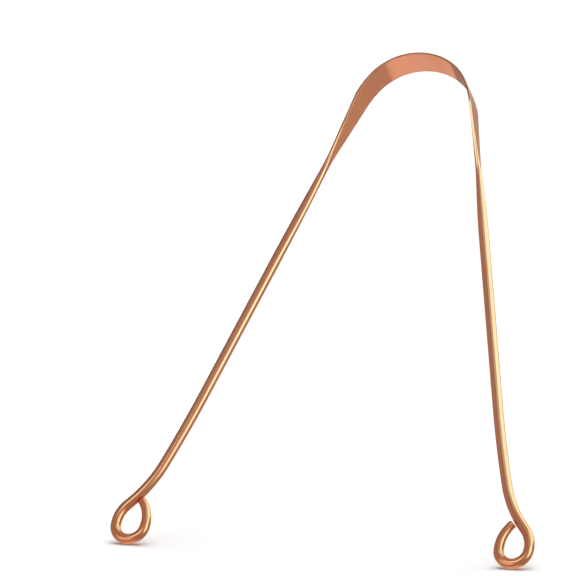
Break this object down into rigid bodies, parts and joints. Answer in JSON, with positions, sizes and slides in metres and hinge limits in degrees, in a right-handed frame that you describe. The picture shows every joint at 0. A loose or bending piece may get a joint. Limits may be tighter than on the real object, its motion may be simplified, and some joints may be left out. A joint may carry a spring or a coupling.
{
  "type": "tongue scraper",
  "caption": "Springy copper wire U with a flattened arched scraping strip, tapering shoulders, splayed round arms and a hanging eye rolled at each end.",
  "frame": {"origin": "midway between the two eyes, in the middle of the wire, level with the lowest point of both eyes", "axes": "+X across from the left eye to the right eye, +Y through the flat U, away from the side that the picture shows, +Z from the eyes up to the arched blade"},
  "size_m": [0.1058, 0.0082, 0.1369],
  "materials": {
    "copper": "polished"
  },
  "bodies": {
    "blade": {"blade": "copper"},
    "left_handle": {"left_shoulder": "copper", "left_neck": "copper", "left_arm": "copper", "left_eye": "copper"},
    "right_handle": {"right_shoulder": "copper", "right_neck": "copper", "right_arm": "copper", "right_eye": "copper"}
  },
  "joints": [
    {"name": "left_flex", "type": "hinge", "parent": "blade", "child": "left_handle", "pos_m": [-0.01461, 0, 0.12382], "axis": [0, -1, 0], "range_deg": [-8, 8], "stiffness_Nm_per_rad": 0.5},
    {"name": "right_flex", "type": "hinge", "parent": "blade", "child": "right_handle", "pos_m": [0.01461, 0, 0.12382], "axis": [0, 1, 0], "range_deg": [-8, 8], "stiffness_Nm_per_rad": 0.5}
  ]
}
